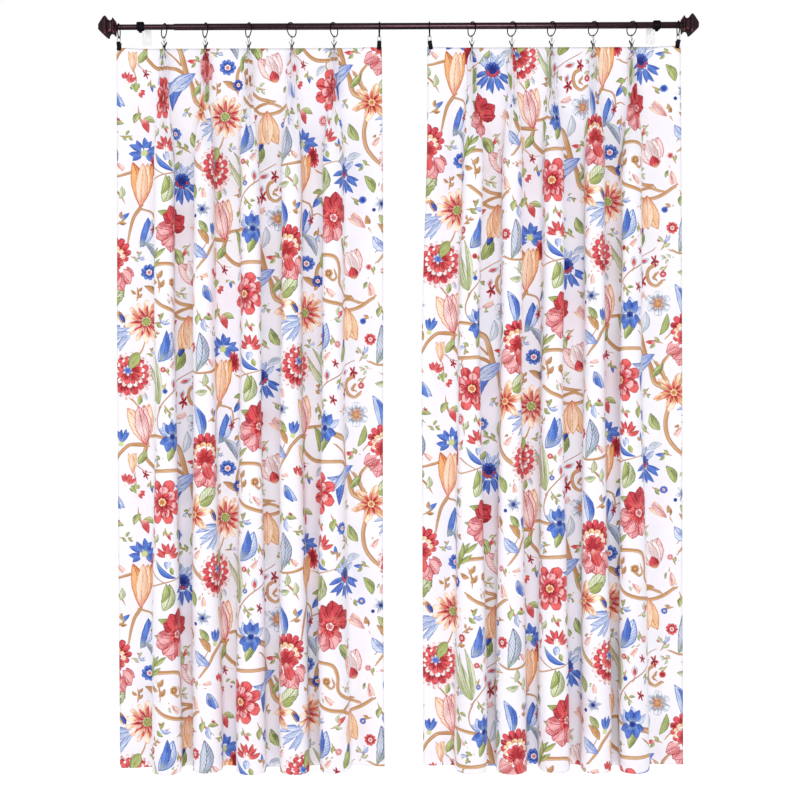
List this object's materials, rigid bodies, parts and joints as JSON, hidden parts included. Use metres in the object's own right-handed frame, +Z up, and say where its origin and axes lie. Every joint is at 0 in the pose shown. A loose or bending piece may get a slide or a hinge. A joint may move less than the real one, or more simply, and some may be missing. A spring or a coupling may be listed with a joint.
{
  "type": "window curtains on a rod",
  "caption": "Pair of floral pinch-pleated curtains hung by clip rings from a telescoping rod with square finials on wall brackets.",
  "frame": {"origin": "on the wall plane, midway between the two brackets, at the height of the rod's axis", "axes": "+X to the right along the rod, +Y into the wall, +Z up"},
  "size_m": [1.778, 0.1557, 2.2289],
  "materials": {
    "bronze": "satin oil-rubbed",
    "black_enamel": "satin",
    "white_paint": "matt, to match the wall",
    "bare_steel": "nickel plated",
    "printed_cloth": "printed cotton",
    "lining_cloth": "plain cotton",
    "buckram": "stiffened"
  },
  "bodies": {
    "mounted_rod": {"rod_outer_tube": "bronze", "right_finial": "bronze", "left_bracket_plate": "white_paint", "left_bracket_arm": "bronze", "left_arm_screw": "bare_steel", "right_bracket_plate": "white_paint", "right_bracket_arm": "bronze", "right_arm_screw": "bare_steel", "left_panel": "printed_cloth", "left_header_strip": "buckram", "left_lining": "lining_cloth", "right_panel": "printed_cloth", "right_header_strip": "buckram", "right_lining": "lining_cloth"},
    "inner_rod": {"rod_inner_tube": "bronze", "left_finial": "bronze"},
    "left_rod_screw": {"left_rod_screw": "bronze"},
    "right_rod_screw": {"right_rod_screw": "bronze"},
    "left_clip_7": {"left_clip_7": "black_enamel"},
    "left_ring_7": {"left_ring_7": "black_enamel"},
    "left_jaw_7": {"left_clip_jaw_7": "black_enamel"},
    "left_clip_1": {"left_clip_1": "black_enamel"},
    "left_ring_1": {"left_ring_1": "black_enamel"},
    "left_jaw_1": {"left_clip_jaw_1": "black_enamel"},
    "left_clip_2": {"left_clip_2": "black_enamel"},
    "left_ring_2": {"left_ring_2": "black_enamel"},
    "left_jaw_2": {"left_clip_jaw_2": "black_enamel"},
    "left_clip_3": {"left_clip_3": "black_enamel"},
    "left_ring_3": {"left_ring_3": "black_enamel"},
    "left_jaw_3": {"left_clip_jaw_3": "black_enamel"},
    "left_clip_4": {"left_clip_4": "black_enamel"},
    "left_ring_4": {"left_ring_4": "black_enamel"},
    "left_jaw_4": {"left_clip_jaw_4": "black_enamel"},
    "left_clip_5": {"left_clip_5": "black_enamel"},
    "left_ring_5": {"left_ring_5": "black_enamel"},
    "left_jaw_5": {"left_clip_jaw_5": "black_enamel"},
    "left_clip_6": {"left_clip_6": "black_enamel"},
    "left_ring_6": {"left_ring_6": "black_enamel"},
    "left_jaw_6": {"left_clip_jaw_6": "black_enamel"},
    "right_clip_7": {"right_clip_7": "black_enamel"},
    "right_ring_7": {"right_ring_7": "black_enamel"},
    "right_jaw_7": {"right_clip_jaw_7": "black_enamel"},
    "right_clip_1": {"right_clip_1": "black_enamel"},
    "right_ring_1": {"right_ring_1": "black_enamel"},
    "right_jaw_1": {"right_clip_jaw_1": "black_enamel"},
    "right_clip_2": {"right_clip_2": "black_enamel"},
    "right_ring_2": {"right_ring_2": "black_enamel"},
    "right_jaw_2": {"right_clip_jaw_2": "black_enamel"},
    "right_clip_3": {"right_clip_3": "black_enamel"},
    "right_ring_3": {"right_ring_3": "black_enamel"},
    "right_jaw_3": {"right_clip_jaw_3": "black_enamel"},
    "right_clip_4": {"right_clip_4": "black_enamel"},
    "right_ring_4": {"right_ring_4": "black_enamel"},
    "right_jaw_4": {"right_clip_jaw_4": "black_enamel"},
    "right_clip_5": {"right_clip_5": "black_enamel"},
    "right_ring_5": {"right_ring_5": "black_enamel"},
    "right_jaw_5": {"right_clip_jaw_5": "black_enamel"},
    "right_clip_6": {"right_clip_6": "black_enamel"},
    "right_ring_6": {"right_ring_6": "black_enamel"},
    "right_jaw_6": {"right_clip_jaw_6": "black_enamel"}
  },
  "joints": [
    {"name": "rod_extend", "type": "slide", "parent": "mounted_rod", "child": "inner_rod", "axis": [-1, 0, 0], "range_m": [0, 1.18]},
    {"name": "left_rod_screw_turn", "type": "hinge", "parent": "mounted_rod", "child": "left_rod_screw", "pos_m": [-0.765, -0.09, 0], "axis": [0, 0, -1], "range_deg": [0, 360]},
    {"name": "right_rod_screw_turn", "type": "hinge", "parent": "mounted_rod", "child": "right_rod_screw", "pos_m": [0.765, -0.09, 0], "axis": [0, 0, -1], "range_deg": [0, 360]},
    {"name": "left_draw", "type": "slide", "parent": "mounted_rod", "child": "left_clip_7", "axis": [-1, 0, 0], "range_m": [0, 0.424], "deforming": ["left_panel", "left_header_strip", "left_lining"]},
    {"name": "left_swivel_7", "type": "hinge", "parent": "left_clip_7", "child": "left_ring_7", "pos_m": [-0.057, -0.09, -0.0095], "axis": [0, 0, 1], "range_deg": [-48, 40]},
    {"name": "left_jaw_open_7", "type": "hinge", "parent": "left_clip_7", "child": "left_jaw_7", "pos_m": [-0.05769, -0.09, -0.05698], "axis": [-0.9986, 0, 0.0523], "range_deg": [0, 18], "stiffness_Nm_per_rad": 0.01, "springref_deg": -28.65},
    {"name": "left_slide_1", "type": "slide", "parent": "mounted_rod", "child": "left_clip_1", "axis": [-1, 0, 0], "range_m": [-0.03883, 0]},
    {"name": "left_swivel_1", "type": "hinge", "parent": "left_clip_1", "child": "left_ring_1", "pos_m": [-0.829, -0.09, -0.011], "axis": [0, 0, 1], "range_deg": [-23, 17]},
    {"name": "left_jaw_open_1", "type": "hinge", "parent": "left_clip_1", "child": "left_jaw_1", "pos_m": [-0.82854, -0.09, -0.05699], "axis": [-0.9994, 0, -0.0349], "range_deg": [0, 18], "stiffness_Nm_per_rad": 0.01, "springref_deg": -28.65},
    {"name": "left_slide_2", "type": "slide", "parent": "mounted_rod", "child": "left_clip_2", "axis": [-1, 0, 0], "range_m": [0, 0.04242]},
    {"name": "left_swivel_2", "type": "hinge", "parent": "left_clip_2", "child": "left_ring_2", "pos_m": [-0.695, -0.09, -0.011], "axis": [0, 0, 1], "range_deg": [-21, 11]},
    {"name": "left_jaw_open_2", "type": "hinge", "parent": "left_clip_2", "child": "left_jaw_2", "pos_m": [-0.695, -0.09, -0.057], "axis": [0, -1, 0], "range_deg": [0, 18], "stiffness_Nm_per_rad": 0.01, "springref_deg": -28.65},
    {"name": "left_slide_3", "type": "slide", "parent": "mounted_rod", "child": "left_clip_3", "axis": [-1, 0, 0], "range_m": [0, 0.11548]},
    {"name": "left_swivel_3", "type": "hinge", "parent": "left_clip_3", "child": "left_ring_3", "pos_m": [-0.573, -0.09, -0.0095], "axis": [0, 0, 1], "range_deg": [-19, 15]},
    {"name": "left_jaw_open_3", "type": "hinge", "parent": "left_clip_3", "child": "left_jaw_3", "pos_m": [-0.573, -0.09, -0.057], "axis": [0, -1, 0], "range_deg": [0, 18], "stiffness_Nm_per_rad": 0.01, "springref_deg": -28.65},
    {"name": "left_slide_4", "type": "slide", "parent": "mounted_rod", "child": "left_clip_4", "axis": [-1, 0, 0], "range_m": [0, 0.19214]},
    {"name": "left_swivel_4", "type": "hinge", "parent": "left_clip_4", "child": "left_ring_4", "pos_m": [-0.445, -0.09, -0.0095], "axis": [0, 0, 1], "range_deg": [-20, 13]},
    {"name": "left_jaw_open_4", "type": "hinge", "parent": "left_clip_4", "child": "left_jaw_4", "pos_m": [-0.445, -0.09, -0.057], "axis": [0, -1, 0], "range_deg": [0, 18], "stiffness_Nm_per_rad": 0.01, "springref_deg": -28.65},
    {"name": "left_slide_5", "type": "slide", "parent": "mounted_rod", "child": "left_clip_5", "axis": [-1, 0, 0], "range_m": [0, 0.26879]},
    {"name": "left_swivel_5", "type": "hinge", "parent": "left_clip_5", "child": "left_ring_5", "pos_m": [-0.317, -0.09, -0.0095], "axis": [0, 0, 1], "range_deg": [-10, 22]},
    {"name": "left_jaw_open_5", "type": "hinge", "parent": "left_clip_5", "child": "left_jaw_5", "pos_m": [-0.317, -0.09, -0.057], "axis": [0, -1, 0], "range_deg": [0, 18], "stiffness_Nm_per_rad": 0.01, "springref_deg": -28.65},
    {"name": "left_slide_6", "type": "slide", "parent": "mounted_rod", "child": "left_clip_6", "axis": [-1, 0, 0], "range_m": [0, 0.34395]},
    {"name": "left_swivel_6", "type": "hinge", "parent": "left_clip_6", "child": "left_ring_6", "pos_m": [-0.1915, -0.09, -0.0095], "axis": [0, 0, 1], "range_deg": [-15, 19]},
    {"name": "left_jaw_open_6", "type": "hinge", "parent": "left_clip_6", "child": "left_jaw_6", "pos_m": [-0.1915, -0.09, -0.057], "axis": [0, -1, 0], "range_deg": [0, 18], "stiffness_Nm_per_rad": 0.01, "springref_deg": -28.65},
    {"name": "right_draw", "type": "slide", "parent": "mounted_rod", "child": "right_clip_7", "axis": [1, 0, 0], "range_m": [0, 0.404], "deforming": ["right_panel", "right_header_strip", "right_lining"]},
    {"name": "right_swivel_7", "type": "hinge", "parent": "right_clip_7", "child": "right_ring_7", "pos_m": [0.0916, -0.09, -0.0095], "axis": [0, 0, 1], "range_deg": [-40, 48]},
    {"name": "right_jaw_open_7", "type": "hinge", "parent": "right_clip_7", "child": "right_jaw_7", "pos_m": [0.09389, -0.09, -0.0568], "axis": [-0.9848, 0, -0.1736], "range_deg": [0, 18], "stiffness_Nm_per_rad": 0.01, "springref_deg": -28.65},
    {"name": "right_slide_1", "type": "slide", "parent": "mounted_rod", "child": "right_clip_1", "axis": [1, 0, 0], "range_m": [-0.0389, 0]},
    {"name": "right_swivel_1", "type": "hinge", "parent": "right_clip_1", "child": "right_ring_1", "pos_m": [0.829, -0.09, -0.0095], "axis": [0, 0, 1], "range_deg": [-17, 23]},
    {"name": "right_jaw_open_1", "type": "hinge", "parent": "right_clip_1", "child": "right_jaw_1", "pos_m": [0.82693, -0.09, -0.05684], "axis": [-0.9877, 0, 0.1564], "range_deg": [0, 18], "stiffness_Nm_per_rad": 0.01, "springref_deg": -28.65},
    {"name": "right_slide_2", "type": "slide", "parent": "mounted_rod", "child": "right_clip_2", "axis": [1, 0, 0], "range_m": [0, 0.0449]},
    {"name": "right_swivel_2", "type": "hinge", "parent": "right_clip_2", "child": "right_ring_2", "pos_m": [0.691, -0.09, -0.0095], "axis": [0, 0, 1], "range_deg": [-20, 13]},
    {"name": "right_jaw_open_2", "type": "hinge", "parent": "right_clip_2", "child": "right_jaw_2", "pos_m": [0.691, -0.09, -0.057], "axis": [0, -1, 0], "range_deg": [0, 18], "stiffness_Nm_per_rad": 0.01, "springref_deg": -28.65},
    {"name": "right_slide_3", "type": "slide", "parent": "mounted_rod", "child": "right_clip_3", "axis": [1, 0, 0], "range_m": [0, 0.11314]},
    {"name": "right_swivel_3", "type": "hinge", "parent": "right_clip_3", "child": "right_ring_3", "pos_m": [0.57725, -0.09, -0.0095], "axis": [0, 0, 1], "range_deg": [-22, 10]},
    {"name": "right_jaw_open_3", "type": "hinge", "parent": "right_clip_3", "child": "right_jaw_3", "pos_m": [0.57725, -0.09, -0.057], "axis": [0, -1, 0], "range_deg": [0, 18], "stiffness_Nm_per_rad": 0.01, "springref_deg": -28.65},
    {"name": "right_slide_4", "type": "slide", "parent": "mounted_rod", "child": "right_clip_4", "axis": [1, 0, 0], "range_m": [0, 0.18738]},
    {"name": "right_swivel_4", "type": "hinge", "parent": "right_clip_4", "child": "right_ring_4", "pos_m": [0.4535, -0.09, -0.0095], "axis": [0, 0, 1], "range_deg": [-19, 16]},
    {"name": "right_jaw_open_4", "type": "hinge", "parent": "right_clip_4", "child": "right_jaw_4", "pos_m": [0.4535, -0.09, -0.057], "axis": [0, -1, 0], "range_deg": [0, 18], "stiffness_Nm_per_rad": 0.01, "springref_deg": -28.65},
    {"name": "right_slide_5", "type": "slide", "parent": "mounted_rod", "child": "right_clip_5", "axis": [1, 0, 0], "range_m": [0, 0.25803]},
    {"name": "right_swivel_5", "type": "hinge", "parent": "right_clip_5", "child": "right_ring_5", "pos_m": [0.33575, -0.09, -0.0095], "axis": [0, 0, 1], "range_deg": [-21, 11]},
    {"name": "right_jaw_open_5", "type": "hinge", "parent": "right_clip_5", "child": "right_jaw_5", "pos_m": [0.33575, -0.09, -0.057], "axis": [0, -1, 0], "range_deg": [0, 18], "stiffness_Nm_per_rad": 0.01, "springref_deg": -28.65},
    {"name": "right_slide_6", "type": "slide", "parent": "mounted_rod", "child": "right_clip_6", "axis": [1, 0, 0], "range_m": [0, 0.32927]},
    {"name": "right_swivel_6", "type": "hinge", "parent": "right_clip_6", "child": "right_ring_6", "pos_m": [0.217, -0.09, -0.0095], "axis": [0, 0, 1], "range_deg": [-20, 14]},
    {"name": "right_jaw_open_6", "type": "hinge", "parent": "right_clip_6", "child": "right_jaw_6", "pos_m": [0.217, -0.09, -0.057], "axis": [0, -1, 0], "range_deg": [0, 18], "stiffness_Nm_per_rad": 0.01, "springref_deg": -28.65}
  ],
  "couplings": [
    {"joint": "left_slide_1", "follows": "left_draw", "ratio": -0.090395},
    {"joint": "left_slide_2", "follows": "left_draw", "ratio": 0.09887},
    {"joint": "left_slide_3", "follows": "left_draw", "ratio": 0.27119},
    {"joint": "left_slide_4", "follows": "left_draw", "ratio": 0.45198},
    {"joint": "left_slide_5", "follows": "left_draw", "ratio": 0.63277},
    {"joint": "left_slide_6", "follows": "left_draw", "ratio": 0.81003},
    {"joint": "right_slide_1", "follows": "right_draw", "ratio": -0.09504},
    {"joint": "right_slide_2", "follows": "right_draw", "ratio": 0.10989},
    {"joint": "right_slide_3", "follows": "right_draw", "ratio": 0.27881},
    {"joint": "right_slide_4", "follows": "right_draw", "ratio": 0.46258},
    {"joint": "right_slide_5", "follows": "right_draw", "ratio": 0.63744},
    {"joint": "right_slide_6", "follows": "right_draw", "ratio": 0.81378}
  ]
}
